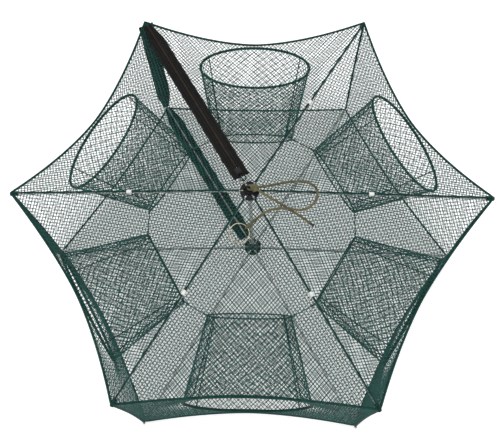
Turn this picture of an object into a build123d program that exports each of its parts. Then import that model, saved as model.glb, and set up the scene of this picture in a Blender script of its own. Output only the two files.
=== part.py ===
"""Folding crab trap: six-sided umbrella frame, sewn net bag, six funnel entrances and a zip door."""

import os
from math import atan2, cos, degrees, pi, radians, sin, tan

from build123d import *

# ---------------------------------------------------------------- driving dimensions, in mm
SIDES = 6
SECTOR = 360 / SIDES
ZIP_CORNER = 2  # the corner whose seam carries the zip, counted from +X

top_tip_radius = 400.0  # reach of the top ribs
top_tip_height = 271.0
top_hinge_height = 292.0
floor_tip_radius = 381.0  # reach of the bottom ribs
floor_tip_height = 2.5  # the bottom ribs' beads stand on the ground
floor_hinge_height = 36.0
hinge_radius = 12.0  # hinge pins' distance from the axis

rib_diameter = 3.0
eye_radius = 2.8
eye_thickness = 2.6
pin_radius = 1.0
pin_length = 8.0
running_clearance = 0.05
snug_clearance = 0.02
side_clearance = 0.3

hub_radius = 16.0
hub_core_radius = 6.5
hub_thickness = 9.0
slot_width = rib_diameter + 2 * side_clearance
post_radius = 3.0
post_bore_radius = 2.0
hub_cap_radius = 8.5
hub_cap_height = 4.0
lug_height = 9.0
lug_width = 9.0
lug_thickness = 3.0
lug_hole_radius = 2.5

tip_cap_radius = 3.5
tip_cap_length = 14.0
tip_cap_wall = 4.0
clip_radius = 2.8
clip_length = 8.0
clip_place = 0.48  # share of the top rib's length
clip_hole_radius = 4.5
floor_bead_radius = 2.5

net_thickness = 1.2
seam_gap = 0.4  # each flat net panel stops this far inside its seam
net_hole_radius = 25.0
top_hem_radius = 322.0  # the hem's middle, pulled in and down by the net
top_hem_height = 236.0
floor_hem_radius = 310.0
floor_hem_height = 20.0
hem_gap = 0.6  # between a wall's edge and the net it is sewn to
wall_top_inset = 5.4
wall_top_drop = 7.0
wall_foot_inset = 4.8
wall_foot_rise = 3.9

binding_radius = 1.5
hoop_radius_out = 320.0  # the hoop's plane, measured out from the axis
hoop_height = 162.0
hoop_half_width = 105.0
hoop_half_height = 68.0
hoop_end_radius = 50.0
hoop_wire_radius = 2.0
hoop_margin = 3.0
mouth_flare = 1.04  # the funnel's mouth reaches round behind the hoop's wire
throat_radius_out = 172.0
throat_height = 155.0
throat_half_width = 72.0
throat_half_height = 16.0
tie_radius = 0.8

zip_tape_width = 13.0
zip_tape_thickness = 1.0
zip_gap = 2.0
side_tape_lift = 0.7  # off the walls' outer faces, which fold a little at their panels' edges
side_tape_trim_top = 12.0
side_tape_trim_foot = 26.0
zip_coil_width = 1.7
zip_coil_height = 1.8
zip_start = 48.0  # where the closed zip begins, at the slider's tail
zip_end = 386.0
slider_place = 38.0
slider_length = 13.0
slider_width = 10.0
slider_plate = 1.0
slider_bridge = 1.3
pull_pin_radius = 0.8
pull_pin_lift = 2.2  # above the slider's upper plate
pull_eye_radius = 1.7
pull_ring_radius = 5.0
pull_ring_wire = 0.9

cord_radius = 2.0
hub_knot_radius = 6.0
ring_knot_radius = 5.0
cord_ring_radius = 16.0
cord_ring_wire = 1.25
cord_bend_share = 0.45

# The pull cord's loop and its tail, each from beside the hub knot: x, y and the lift off the net.
# The loop comes back over the tail on its way to the knot at the ring.
pull_cord_route = [
    (29.0, 6.5, 3.2),
    (47.0, 13.0, 1.4),
    (66.0, 19.0, 0.2),
    (86.0, 21.0, 0.2),
    (102.0, 15.0, 0.6),
    (111.0, 1.0, 3.6),
    (108.0, -14.0, 0.8),
    (98.0, -25.5, 0.8),
    (86.0, -31.0, 3.0),
    (73.0, -31.5, 5.2),
    (58.0, -29.5, 5.2),
    (44.0, -30.5, 2.4),
    (30.5, -35.5, 3.0),
    (16.5, -45.5, 2.8),
]
cord_tail_route = [
    (29.5, -10.5, 2.2),
    (49.0, -20.0, 0.4),
    (70.0, -32.6, 0.3),
    (89.0, -43.4, 0.5),
    (104.0, -54.0, 0.2),
]
hub_knot_place = (7.5, -0.5, 306.6)
ring_knot_place = (1.0, -59.5)
cord_ring_place = (-15.0, -72.0)

# ---------------------------------------------------------------- shared geometry


def at(radius, angle, height):
    """The point at a radius and a compass angle in degrees."""
    return Vector(radius * cos(radians(angle)), radius * sin(radians(angle)), height)


def tangent(angle):
    """The level direction square to a rib that points along the angle."""
    return Vector(-sin(radians(angle)), cos(radians(angle)), 0)


def corner_angle(corner):
    return SECTOR * corner


def side_angle(side):
    return SECTOR * (side + 0.5)


def rib_plane(angle, hinge_height, tip_radius, tip_height):
    """Origin on the hinge pin, X out along the rib, Z along the pin."""
    hinge = at(hinge_radius, angle, hinge_height)
    out = (at(tip_radius, angle, tip_height) - hinge).normalized()
    return Plane(origin=hinge, x_dir=out, z_dir=tangent(angle))


def along(plane, distance):
    """A plane square to a rib, at a distance from its hinge."""
    return Plane(origin=plane.origin + plane.x_dir * distance, z_dir=plane.x_dir)


def top_rib_plane(corner):
    return rib_plane(corner_angle(corner), top_hinge_height, top_tip_radius, top_tip_height)


def floor_rib_plane(corner):
    return rib_plane(corner_angle(corner), floor_hinge_height, floor_tip_radius, floor_tip_height)


top_rib_length = (
    at(top_tip_radius, 0, top_tip_height) - at(hinge_radius, 0, top_hinge_height)
).length
floor_rib_length = (
    at(floor_tip_radius, 0, floor_tip_height) - at(hinge_radius, 0, floor_hinge_height)
).length

top_slope = (top_tip_height - top_hinge_height) / (top_tip_radius - hinge_radius)
floor_slope = (floor_tip_height - floor_hinge_height) / (floor_tip_radius - hinge_radius)
rib_cover = rib_diameter / 2 + side_clearance
net_corner_radius = top_tip_radius - 2.0
top_apex_height = top_hinge_height - top_slope * hinge_radius + rib_cover + 0.2
top_corner_height = top_tip_height + tip_cap_radius + 2 * side_clearance
floor_net_corner_radius = floor_tip_radius - 5.0
floor_corner_height = 0.0
floor_apex_height = (
    floor_hinge_height - floor_slope * hinge_radius - rib_cover - net_thickness - 0.2
)


def panel_face(corners, gap=seam_gap):
    """A flat panel whose corners are drawn in towards its middle by the seam gap."""
    middle = sum(corners, Vector(0, 0, 0)) / len(corners)
    drawn = [p + (middle - p).normalized() * gap * 2 for p in corners]
    return Face(Wire.make_polygon(drawn, close=True))


def panel_normal(corners, outward):
    """The panel's unit normal, turned to the side that outward points to."""
    normal = (corners[1] - corners[0]).cross(corners[2] - corners[0]).normalized()
    return normal if normal.dot(outward) > 0 else normal * -1


def add_panel(corners, outward, thickness=net_thickness):
    """One flat panel of netting in the current part, thickened on its outward side."""
    extrude(panel_face(corners), amount=thickness, dir=panel_normal(corners, outward))


def save(part, label):
    part.label = label
    export_step(part, f"parts/{label}.step")


# ---------------------------------------------------------------- centre post, hubs and pins


def make_centre_post():
    """Steel tube that holds the two hubs apart."""
    bottom = floor_hinge_height - hub_thickness / 2
    with BuildPart() as post:
        with BuildSketch(Plane.XY.offset(bottom)):
            Circle(post_radius)
            Circle(post_bore_radius, mode=Mode.SUBTRACT)
        extrude(amount=top_hinge_height + hub_thickness / 2 - bottom)
    save(post.part, "centre_post")


def make_hub(label, hinge_height):
    """Moulded hub with a slot and a blind pin hole for each rib."""
    bottom = hinge_height - hub_thickness / 2
    slot_length = hub_radius - hub_core_radius + 2
    with BuildPart() as hub:
        with BuildSketch(Plane.XY.offset(bottom)):
            Circle(hub_radius)
            Circle(post_radius + snug_clearance, mode=Mode.SUBTRACT)
        extrude(amount=hub_thickness)
        rims = hub.edges().filter_by(GeomType.CIRCLE).group_by(SortBy.RADIUS)[-1]
        fillet(rims, 1.5)
        with BuildSketch(Plane.XY.offset(bottom)):
            with PolarLocations(hub_core_radius + slot_length / 2, SIDES):
                Rectangle(slot_length, slot_width)
        extrude(amount=hub_thickness, mode=Mode.SUBTRACT)
        for corner in range(SIDES):
            angle = corner_angle(corner)
            pin = Plane(origin=at(hinge_radius, angle, hinge_height), z_dir=tangent(angle))
            with BuildSketch(pin):
                Circle(pin_radius + snug_clearance)
            extrude(amount=pin_length / 2 + snug_clearance, both=True, mode=Mode.SUBTRACT)
    save(hub.part, label)


def make_hinge_pins():
    """The twelve rib pins, six in each hub."""
    with BuildPart() as pins:
        for hinge_height in (top_hinge_height, floor_hinge_height):
            for corner in range(SIDES):
                angle = corner_angle(corner)
                place = Plane(origin=at(hinge_radius, angle, hinge_height), z_dir=tangent(angle))
                with BuildSketch(place):
                    Circle(pin_radius)
                extrude(amount=pin_length / 2, both=True)
    save(pins.part, "hinge_pins")


def make_hub_cap():
    """Cap on the top hub, with the eye that the pull cord is knotted to."""
    bottom = top_hinge_height + hub_thickness / 2
    lug_middle = -lug_width / 2 + 1.0
    with BuildPart() as cap:
        with BuildSketch(Plane.XY.offset(bottom)):
            Circle(hub_cap_radius)
        extrude(amount=hub_cap_height)
        fillet(cap.edges().filter_by(GeomType.CIRCLE).group_by(Axis.Z)[-1], 1.5)
        with BuildSketch(Plane.XZ.offset(-lug_thickness / 2)):
            with Locations((lug_middle, bottom + hub_cap_height + (lug_height - lug_width / 2) / 2)):
                Rectangle(lug_width, lug_height - lug_width / 2)
            with Locations((lug_middle, bottom + hub_cap_height + lug_height - lug_width / 2)):
                Circle(lug_width / 2)
                Circle(lug_hole_radius, mode=Mode.SUBTRACT)
        extrude(amount=lug_thickness)
    save(cap.part, "hub_cap")


# ---------------------------------------------------------------- ribs and what they carry


def make_rib(label, plane, length, bead_radius=0.0):
    """Steel wire rib with a flattened hinge eye, and a bead at its tip if it has one."""
    hole_radius = pin_radius + running_clearance
    rod_start = (eye_radius + hole_radius) / 2
    with BuildPart() as rib:
        with BuildSketch(plane):
            Circle(eye_radius)
            Circle(hole_radius, mode=Mode.SUBTRACT)
        extrude(amount=eye_thickness / 2, both=True)
        with BuildSketch(along(plane, rod_start)):
            Circle(rib_diameter / 2)
        extrude(amount=length - rod_start)
        if bead_radius:
            with Locations(along(plane, length)):
                Sphere(bead_radius)
    save(rib.part, label)


def make_rib_tip(label, plane):
    """Blind cap on the end of a top rib."""
    with BuildPart() as cap:
        with BuildSketch(along(plane, top_rib_length - tip_cap_length)):
            Circle(tip_cap_radius)
        extrude(amount=tip_cap_length)
        fillet(cap.faces().sort_by(Axis((0, 0, 0), plane.x_dir))[-1].edges(), 2.5)
        with BuildSketch(along(plane, top_rib_length - tip_cap_length)):
            Circle(rib_diameter / 2 + snug_clearance)
        extrude(amount=tip_cap_length - tip_cap_wall, mode=Mode.SUBTRACT)
    save(cap.part, label)


def make_rib_clip(label, plane):
    """Collar that ties the net to the middle of a top rib."""
    with BuildPart() as clip:
        with BuildSketch(along(plane, top_rib_length * clip_place - clip_length / 2)):
            Circle(clip_radius)
            Circle(rib_diameter / 2 + snug_clearance, mode=Mode.SUBTRACT)
        extrude(amount=clip_length)
    save(clip.part, label)


def make_corner_binding(label, angle):
    """Bound edge of the net from a top rib's tip down to the bottom rib's tip."""
    top = at(top_tip_radius - 2.5, angle, top_tip_height - tip_cap_radius - side_clearance)
    foot = at(floor_tip_radius - 2.0, angle, floor_tip_height + floor_bead_radius + side_clearance)
    with BuildPart() as binding:
        with BuildSketch(Plane(origin=foot, z_dir=top - foot)):
            Circle(binding_radius)
        extrude(amount=(top - foot).length - binding_radius * 0.1)
    save(binding.part, label)


# ---------------------------------------------------------------- net bag


def gore_corners(corner, turn, apex, tip, hem):
    """Four corners of half a gore, from the hub hole out to a tip and the middle of the hem."""
    angle = corner_angle(corner)
    tip_point = at(tip[0], angle, tip[1])
    hem_point = at(hem[0], angle + turn * SECTOR / 2, hem[1])
    top = Vector(0, 0, apex)
    near_tip = top + (tip_point - top) * (net_hole_radius / tip[0])
    near_hem = top + (hem_point - top) * (net_hole_radius / hem[0])
    return [near_tip, tip_point, hem_point, near_hem]


def make_top_net():
    """Twelve half gores that slope from the hub to the six tips, with a hole for each rib clip."""
    with BuildPart() as net:
        for corner in range(SIDES):
            for turn in (-1, 1):
                corners = gore_corners(
                    corner,
                    turn,
                    top_apex_height,
                    (net_corner_radius, top_corner_height),
                    (top_hem_radius, top_hem_height),
                )
                add_panel(corners, Vector(0, 0, 1))
        clip_centre = hinge_radius + top_rib_length * clip_place
        with BuildSketch(Plane.XY.offset(top_hem_height)):
            with PolarLocations(clip_centre, SIDES):
                SlotOverall(clip_length + clip_hole_radius, 2 * clip_hole_radius)
        extrude(amount=top_apex_height, mode=Mode.SUBTRACT)
    save(net.part, "top_net")


def make_bottom_net():
    """Twelve half gores under the bottom ribs, parted along one seam for the zip's tape."""
    tape_room = zip_tape_width + zip_gap / 2 + side_clearance
    angle = corner_angle(ZIP_CORNER)
    with BuildPart() as net:
        for corner in range(SIDES):
            for turn in (-1, 1):
                corners = gore_corners(
                    corner,
                    turn,
                    floor_apex_height,
                    (floor_net_corner_radius, floor_corner_height),
                    (floor_hem_radius, floor_hem_height),
                )
                add_panel(corners, Vector(0, 0, 1))
        with BuildSketch(Plane.XY):
            with PolarLocations(floor_net_corner_radius / 2, 1, start_angle=angle):
                Rectangle(floor_net_corner_radius + 2, 2 * tape_room)
        extrude(amount=floor_apex_height + net_thickness, mode=Mode.SUBTRACT)
    save(net.part, "bottom_net")


def ring_points(angle, radius_out, height, half_width, half_height):
    """Eight points of an upright octagon that stands square to the angle."""
    middle = at(radius_out, angle, height)
    turns = [22.5 + 45 * i for i in range(8)]
    return [
        middle + tangent(angle) * half_width * cos(radians(t)) + Vector(0, 0, half_height * sin(radians(t)))
        for t in turns
    ]


def wall_edge(corner):
    """The top and the foot of the walls' inner faces at a corner."""
    angle = corner_angle(corner)
    top = at(top_tip_radius - wall_top_inset, angle, top_tip_height - wall_top_drop)
    foot = at(floor_tip_radius - wall_foot_inset, angle, floor_tip_height + wall_foot_rise)
    return top, foot


def wall_hole(side):
    """The octagon round a wall's hoop: point 0 is beside the next corner's top, 3 beside the last's."""
    around = 1 / cos(radians(22.5))
    return ring_points(
        side_angle(side),
        hoop_radius_out,
        hoop_height,
        (hoop_half_width + hoop_margin) * around,
        (hoop_half_height + hoop_margin) * around,
    )


def make_wall_net(side):
    """One side wall round its hoop, and the funnel that narrows inwards from the hoop."""
    angle = side_angle(side)
    right_top, right_foot = wall_edge(side)
    left_top, left_foot = wall_edge(side + 1)
    hem_top = at(top_hem_radius, angle, top_hem_height - hem_gap)
    hem_foot = at(floor_hem_radius, angle, floor_hem_height + net_thickness + hem_gap)
    hole = wall_hole(side)
    wall_panels = [
        (left_top, left_foot, hole[0]),
        (left_foot, hole[7], hole[0]),
        (left_top, hole[0], hole[1]),
        (left_top, hole[1], hem_top),
        (hem_top, hole[1], hole[2]),
        (hem_top, hole[2], right_top),
        (right_top, hole[2], hole[3]),
        (right_top, hole[3], right_foot),
        (right_foot, hole[3], hole[4]),
        (right_foot, hole[4], hole[5]),
        (right_foot, hole[5], hem_foot),
        (hem_foot, hole[5], hole[6]),
        (hem_foot, hole[6], left_foot),
        (left_foot, hole[6], hole[7]),
    ]
    mouth = ring_points(
        angle,
        hoop_radius_out - hoop_wire_radius - side_clearance,
        hoop_height,
        hoop_half_width * mouth_flare,
        hoop_half_height * mouth_flare,
    )
    throat = ring_points(
        angle, throat_radius_out, throat_height, throat_half_width, throat_half_height
    )
    axis_point = at((throat_radius_out + hoop_radius_out) / 2, angle, (hoop_height + throat_height) / 2)
    with BuildPart() as net:
        for panel in wall_panels:
            add_panel(list(panel), at(1, angle, 0))
        for i in range(8):
            j = (i + 1) % 8
            for panel in ([mouth[i], mouth[j], throat[j]], [mouth[i], throat[j], throat[i]]):
                add_panel(panel, panel[0] + panel[1] + panel[2] - axis_point * 3)
    save(net.part, f"wall_net_{side + 1}")


def make_hoop(side):
    """Oval wire hoop that holds an entrance open, made of four arcs."""
    angle = side_angle(side)
    a, b, small = hoop_half_width, hoop_half_height, hoop_end_radius
    large = (a * a + b * b - 2 * a * small) / (2 * (b - small))
    turn = degrees(atan2(a - small, large - b))  # from the upright to where the arcs meet
    plane = Plane(origin=at(hoop_radius_out, angle, hoop_height), x_dir=tangent(angle), z_dir=at(1, angle, 0))
    with BuildPart() as hoop:
        with BuildLine(plane) as path:
            CenterArc((0, -(large - b)), large, 90 - turn, 2 * turn)
            CenterArc((-(a - small), 0), small, 90 + turn, 180 - 2 * turn)
            CenterArc((0, large - b), large, 270 - turn, 2 * turn)
            CenterArc((a - small, 0), small, 270 + turn, 180 - 2 * turn)
        start = path.wires()[0] @ 0
        heading = path.wires()[0] % 0
        with BuildSketch(Plane(origin=start, z_dir=heading)):
            Circle(hoop_wire_radius)
        sweep(path=path.wires()[0])
    save(hoop.part, f"hoop_{side + 1}")


def make_funnel_ties():
    """Strings that stretch each funnel's inner mouth between its neighbours."""
    first = ring_points(side_angle(0), throat_radius_out, throat_height, throat_half_width, throat_half_height)
    end = (first[0] + first[7]) / 2
    with BuildPart() as ties:
        for corner in range(SIDES):
            angle = corner_angle(corner + 1)
            turned = end.rotate(Axis.Z, SECTOR * corner)
            out = turned.dot(at(1, angle, 0))
            reach = -turned.dot(tangent(angle)) - 1.8
            with BuildSketch(Plane(origin=at(out, angle, throat_height), z_dir=tangent(angle))):
                Circle(tie_radius)
            extrude(amount=reach, both=True)
    save(ties.part, "funnel_ties")


# ---------------------------------------------------------------- zip door

seam_tilt = degrees(atan2(top_corner_height - top_apex_height, net_corner_radius))


def seam_plane(distance, lift):
    """Square to the top seam of the zip: X across the tape, Y up out of the net."""
    angle = corner_angle(ZIP_CORNER)
    out = at(cos(radians(seam_tilt)), angle, sin(radians(seam_tilt)))
    up = at(-sin(radians(seam_tilt)), angle, cos(radians(seam_tilt)))
    apex = Vector(0, 0, top_apex_height)
    start = apex + out * distance + up * lift
    return Plane(origin=start, x_dir=tangent(angle) * -1, z_dir=out * -1)


tape_lift = net_thickness + 2 * side_clearance + slider_plate


def make_zip_tape_top():
    """The two tapes of the zip along the top seam."""
    middle = (zip_gap + zip_tape_width) / 2
    with BuildPart() as tape:
        with BuildSketch(seam_plane(zip_end, tape_lift)):
            with Locations((-middle, zip_tape_thickness / 2), (middle, zip_tape_thickness / 2)):
                Rectangle(zip_tape_width, zip_tape_thickness)
        extrude(amount=zip_end - net_hole_radius - 1)
    save(tape.part, "zip_tape_top")


def make_zip_coil():
    """The closed row of teeth from the slider's tail to the corner."""
    with BuildPart() as coil:
        with BuildSketch(seam_plane(zip_end, tape_lift)):
            with Locations((0, zip_coil_height / 2 - side_clearance)):
                RectangleRounded(zip_coil_width, zip_coil_height, 0.4)
        extrude(amount=zip_end - zip_start)
    save(coil.part, "zip_coil")


def make_zip_slider():
    """Slider: a plate above and below the tapes, joined by a bridge between them, and two ears."""
    nose = slider_place - slider_length / 2
    tail = slider_place + slider_length / 2
    above = tape_lift + zip_tape_thickness + side_clearance
    ear_height = pull_pin_lift + pull_pin_radius + 0.8
    with BuildPart() as slider:
        with BuildSketch(seam_plane(tail, tape_lift - side_clearance - slider_plate / 2)):
            Rectangle(slider_width, slider_plate)
        extrude(amount=slider_length)
        with BuildSketch(seam_plane(tail, above + slider_plate / 2)):
            Rectangle(slider_width, slider_plate)
        extrude(amount=slider_length)
        with BuildSketch(seam_plane(nose + slider_length / 3, (above + tape_lift - side_clearance) / 2)):
            Rectangle(slider_bridge, above - tape_lift + side_clearance + slider_plate)
        extrude(amount=slider_length / 3)
        with BuildSketch(seam_plane(nose + 4.0, above + slider_plate + ear_height / 2)):
            with Locations((-2.4, 0), (2.4, 0)):
                Rectangle(1.2, ear_height)
        extrude(amount=4.0)
        hole = seam_plane(nose + 2.0, above + slider_plate + pull_pin_lift)
        with BuildSketch(Plane(origin=hole.origin, z_dir=hole.x_dir)):
            Circle(pull_pin_radius)
        extrude(amount=2.4, both=True)
    save(slider.part, "zip_slider")


def make_zip_pull():
    """Pull that turns on the slider's pin: an eye, a short stem and a finger ring."""
    nose = slider_place - slider_length / 2
    above = tape_lift + zip_tape_thickness + side_clearance + slider_plate
    hole = seam_plane(nose + 2.0, above + pull_pin_lift)
    side = Plane(origin=hole.origin, x_dir=hole.z_dir, z_dir=hole.x_dir)
    stem_length = 5.0
    ring_middle = 1.6 + stem_length + pull_ring_radius
    with BuildPart() as pull:
        with BuildSketch(side):
            Circle(pull_eye_radius)
            Circle(pull_pin_radius + running_clearance, mode=Mode.SUBTRACT)
        extrude(amount=1.2, both=True)
        with BuildSketch(Plane(origin=side.origin + side.x_dir * 1.3, z_dir=side.x_dir)):
            Circle(pull_ring_wire)
        extrude(amount=stem_length)
        flat = Plane(origin=side.origin + side.x_dir * ring_middle, x_dir=side.x_dir, z_dir=side.y_dir)
        with Locations(flat):
            Torus(pull_ring_radius, pull_ring_wire)
    save(pull.part, "zip_pull")


def make_zip_tape_side():
    """The two tapes of the zip down the corner edge, one on each wall, from tip to tip."""
    top, foot = wall_edge(ZIP_CORNER)
    down = (foot - top).normalized()
    with BuildPart() as tape:
        for side, beside in ((ZIP_CORNER - 1, 0), (ZIP_CORNER, 3)):
            panel = [top, foot, wall_hole(side)[beside]]
            off = panel_normal(panel, at(1, corner_angle(ZIP_CORNER), 0))
            across = off.cross(down)
            if across.dot(panel[2] - top) < 0:
                across = across * -1
            shift = off * (net_thickness + side_tape_lift) + across * zip_gap / 2
            near = [top + down * side_tape_trim_top + shift, foot - down * side_tape_trim_foot + shift]
            far = [point + across * zip_tape_width for point in near]
            face = Face(Wire.make_polygon([near[0], near[1], far[1], far[0]], close=True))
            extrude(face, amount=zip_tape_thickness, dir=off)
    save(tape.part, "zip_tape_side")


def make_zip_tape_bottom():
    """The two tapes of the zip along the bottom seam, in the slot between the net's panels."""
    angle = corner_angle(ZIP_CORNER)
    slope = (floor_corner_height - floor_apex_height) / floor_net_corner_radius
    start = at(net_hole_radius + 1, angle, floor_apex_height + slope * (net_hole_radius + 1))
    end = at(floor_net_corner_radius - 1, angle, floor_corner_height - slope)
    out = (end - start).normalized()
    across = tangent(angle)
    with BuildPart() as tape:
        for turn in (-1, 1):
            near = across * (turn * zip_gap / 2)
            far = across * (turn * (zip_gap / 2 + zip_tape_width))
            corners = [start + near, start + far, end + far, end + near]
            face = Face(Wire.make_polygon(corners, close=True))
            extrude(face, amount=zip_tape_thickness, dir=panel_normal(corners, Vector(0, 0, 1)))
    save(tape.part, "zip_tape_bottom")


# ---------------------------------------------------------------- pull cord


def bend_radii(points):
    """For each corner of a cord's route, the largest arc that its two runs allow."""
    radii = []
    for before, here, after in zip(points, points[1:], points[2:]):
        arriving = Vector(here) - Vector(before)
        leaving = Vector(after) - Vector(here)
        turn = radians(arriving.get_angle(leaving))
        shorter = min(arriving.length, leaving.length)
        radii.append(cord_bend_share * shorter / tan(turn / 2))
    return radii


def net_plane(x, y, lift):
    """Plane parallel to the top net under a point, at a lift above the net's upper face."""
    turn = degrees(atan2(y, x)) / SECTOR
    corner = round(turn)
    corners = gore_corners(
        corner,
        1 if turn > corner else -1,
        top_apex_height,
        (net_corner_radius, top_corner_height),
        (top_hem_radius, top_hem_height),
    )
    up = panel_normal(corners, Vector(0, 0, 1))
    first = corners[0]
    height = first.Z - ((x - first.X) * up.X + (y - first.Y) * up.Y) / up.Z
    height += (net_thickness + lift) / up.Z
    return Plane(origin=Vector(x, y, height), z_dir=up)


def towards(knot, radius, point):
    """Where a cord leaves a knot's surface on its way to a point."""
    return knot + (point - knot).normalized() * (radius + snug_clearance)


hub_knot = Vector(hub_knot_place)
ring_knot = net_plane(*ring_knot_place, ring_knot_radius + side_clearance).origin
loop = [net_plane(x, y, cord_radius + lift).origin for x, y, lift in pull_cord_route]
tail = [net_plane(x, y, cord_radius + lift).origin for x, y, lift in cord_tail_route]
loop_start = towards(hub_knot, hub_knot_radius, loop[0])
loop_end = towards(ring_knot, ring_knot_radius, loop[-1])
tail_start = towards(hub_knot, hub_knot_radius, tail[0])


def make_pull_cord():
    """The cord's loop and its tail, each a tube along straight runs joined by arcs."""
    with BuildPart() as cord:
        for points in ([loop_start, *loop, loop_end], [tail_start, *tail]):
            radii = bend_radii(points)
            with BuildLine() as path:
                FilletPolyline(*points, radius=radii)
            route = path.wires()[0]
            with BuildSketch(Plane(origin=route @ 0, z_dir=route % 0)):
                Circle(cord_radius)
            sweep(path=route)
            section = pi * cord_radius**2
            print("cord length", round(route.length, 1), "radii", [round(r, 1) for r in radii])
            print("section times length", round(route.length * section, 1))
    print("cord volume", round(cord.part.volume, 1))
    save(cord.part, "pull_cord")


def cord_ring_plane():
    return net_plane(*cord_ring_place, cord_ring_wire + side_clearance)


def make_cord_ring():
    """Split steel ring on the end of the pull cord."""
    with BuildPart() as ring:
        with Locations(cord_ring_plane()):
            Torus(cord_ring_radius, cord_ring_wire)
    save(ring.part, "cord_ring")


def make_cord_knots():
    """The knot at the hub cap's eye, and the knot round the ring."""
    with BuildPart() as knots:
        with Locations(hub_knot):
            Sphere(hub_knot_radius)
        with Locations(ring_knot):
            Sphere(ring_knot_radius)
        with Locations(cord_ring_plane()):
            Torus(cord_ring_radius, cord_ring_wire + snug_clearance, mode=Mode.SUBTRACT)
    save(knots.part, "cord_knots")


# ---------------------------------------------------------------- the whole trap

os.makedirs("parts", exist_ok=True)

make_centre_post()
make_hub("top_hub", top_hinge_height)
make_hub("bottom_hub", floor_hinge_height)
make_hinge_pins()
make_hub_cap()
for corner in range(SIDES):
    make_rib(f"top_rib_{corner + 1}", top_rib_plane(corner), top_rib_length - tip_cap_wall - 0.2)
    make_rib_tip(f"rib_tip_{corner + 1}", top_rib_plane(corner))
    make_rib_clip(f"rib_clip_{corner + 1}", top_rib_plane(corner))
    make_rib(f"bottom_rib_{corner + 1}", floor_rib_plane(corner), floor_rib_length, floor_bead_radius)
    if corner == ZIP_CORNER:
        make_zip_tape_side()
    else:
        make_corner_binding(f"corner_binding_{corner + 1}", corner_angle(corner))
make_top_net()
make_bottom_net()
for side in range(SIDES):
    make_wall_net(side)
    make_hoop(side)
make_funnel_ties()
make_zip_tape_top()
make_zip_coil()
make_zip_slider()
make_zip_pull()
make_zip_tape_bottom()
make_pull_cord()
make_cord_ring()
make_cord_knots()
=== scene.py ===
"""A folding crab trap: knotted netting, bound hems, funnels, a zip and an olive pull cord."""

from math import atan2, cos, degrees, floor, hypot, pi, radians, sin, sqrt, tan

import bpy
from mathutils import Matrix, Vector


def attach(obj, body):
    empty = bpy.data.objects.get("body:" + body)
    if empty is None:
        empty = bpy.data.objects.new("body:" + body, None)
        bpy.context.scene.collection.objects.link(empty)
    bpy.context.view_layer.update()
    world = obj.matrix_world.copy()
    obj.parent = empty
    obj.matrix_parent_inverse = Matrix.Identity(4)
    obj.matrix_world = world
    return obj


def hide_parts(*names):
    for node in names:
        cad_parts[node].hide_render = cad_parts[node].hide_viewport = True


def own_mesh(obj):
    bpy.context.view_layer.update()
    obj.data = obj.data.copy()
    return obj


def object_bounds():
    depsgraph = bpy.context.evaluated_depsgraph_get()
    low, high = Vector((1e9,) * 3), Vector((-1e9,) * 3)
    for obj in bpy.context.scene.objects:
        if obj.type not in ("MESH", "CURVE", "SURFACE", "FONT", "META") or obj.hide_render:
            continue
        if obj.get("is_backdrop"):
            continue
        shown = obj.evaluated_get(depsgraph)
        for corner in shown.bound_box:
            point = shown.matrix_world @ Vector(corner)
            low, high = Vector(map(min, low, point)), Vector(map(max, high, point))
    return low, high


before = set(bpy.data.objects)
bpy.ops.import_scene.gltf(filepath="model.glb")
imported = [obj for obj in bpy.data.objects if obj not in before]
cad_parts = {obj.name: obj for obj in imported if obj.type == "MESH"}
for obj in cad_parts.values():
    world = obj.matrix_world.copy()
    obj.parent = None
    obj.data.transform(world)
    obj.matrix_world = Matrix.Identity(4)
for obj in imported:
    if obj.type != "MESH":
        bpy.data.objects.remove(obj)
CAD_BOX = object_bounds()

# ------------------------------------------------------------------ sizes, in metres

SIDES = 6
SECTOR = radians(60)
ZIP_CORNER = 2  # counted from +X, as in the frame

PITCH = 0.0052  # side of one mesh of the top and the bottom
THREAD = 0.00145
WALL_PITCH = (0.0040, 0.0064)  # half a mesh of the walls: across, and up
WALL_THREAD = 0.0011
MESH_SQUEEZE = 0.92  # the meshes hang a little longer than they are wide
HUB_HOLE = 0.0175  # radius at which the netting and its seams start
NET_KEEP = 0.14  # share of its width that netting keeps when the trap is folded
FUNNEL_KEEP = 0.3
SEAM_RADIUS = 0.0015
HEM_STEPS = 24  # along half a side

# Each cone of netting runs from the hub to a curved hem: apex height, tip and hem middle (out, up).
TOP = {"apex": 0.2955, "tip": (0.3975, 0.2758), "middle": (0.322, 0.2368)}
BOTTOM = {"apex": 0.0322, "tip": (0.3765, 0.0014), "middle": (0.310, 0.0212)}
HEM_POWER = 1.7  # how late the hem turns out to its tips

HOOP_OUT, HOOP_HEIGHT = 0.320, 0.162
HOOP_WIDE, HOOP_HIGH = 0.105, 0.068  # half sizes
THROAT_OUT, THROAT_HEIGHT = 0.172, 0.155
THROAT_WIDE, THROAT_HIGH = 0.072, 0.016
WALL_LEAN = 9.0  # how fast the wall comes back to its hems, away from the hoop
DECAY_BASE = 2.718
FUNNEL_MESHES = (76, 28)  # half meshes round the funnel, and along it
FUNNEL_DRAW = 0.16  # how much earlier the funnel flattens than it narrows
FUNNEL_SAG = 0.004
FUNNEL_SEAMS = (35, 145, 215, 325)  # degrees round the funnel
TIE_RADIUS = 0.0009
CORNER_INSET, CORNER_TOP = 0.0010, 0.2672  # the corner edges' tops: in from the tip, and up
CORNER_FOOT = (0.3790, 0.0062)  # out, up

# The line along the top ribs, and the flat gores of the frame's top net (out, up).
SEAM_TILT = radians(-2.8363)
SEAM_APEX = 0.294818
GORE_TIP, GORE_MIDDLE = (0.398, 0.2751), (0.322, 0.236)
GORE_THICKNESS = 0.0012

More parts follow.
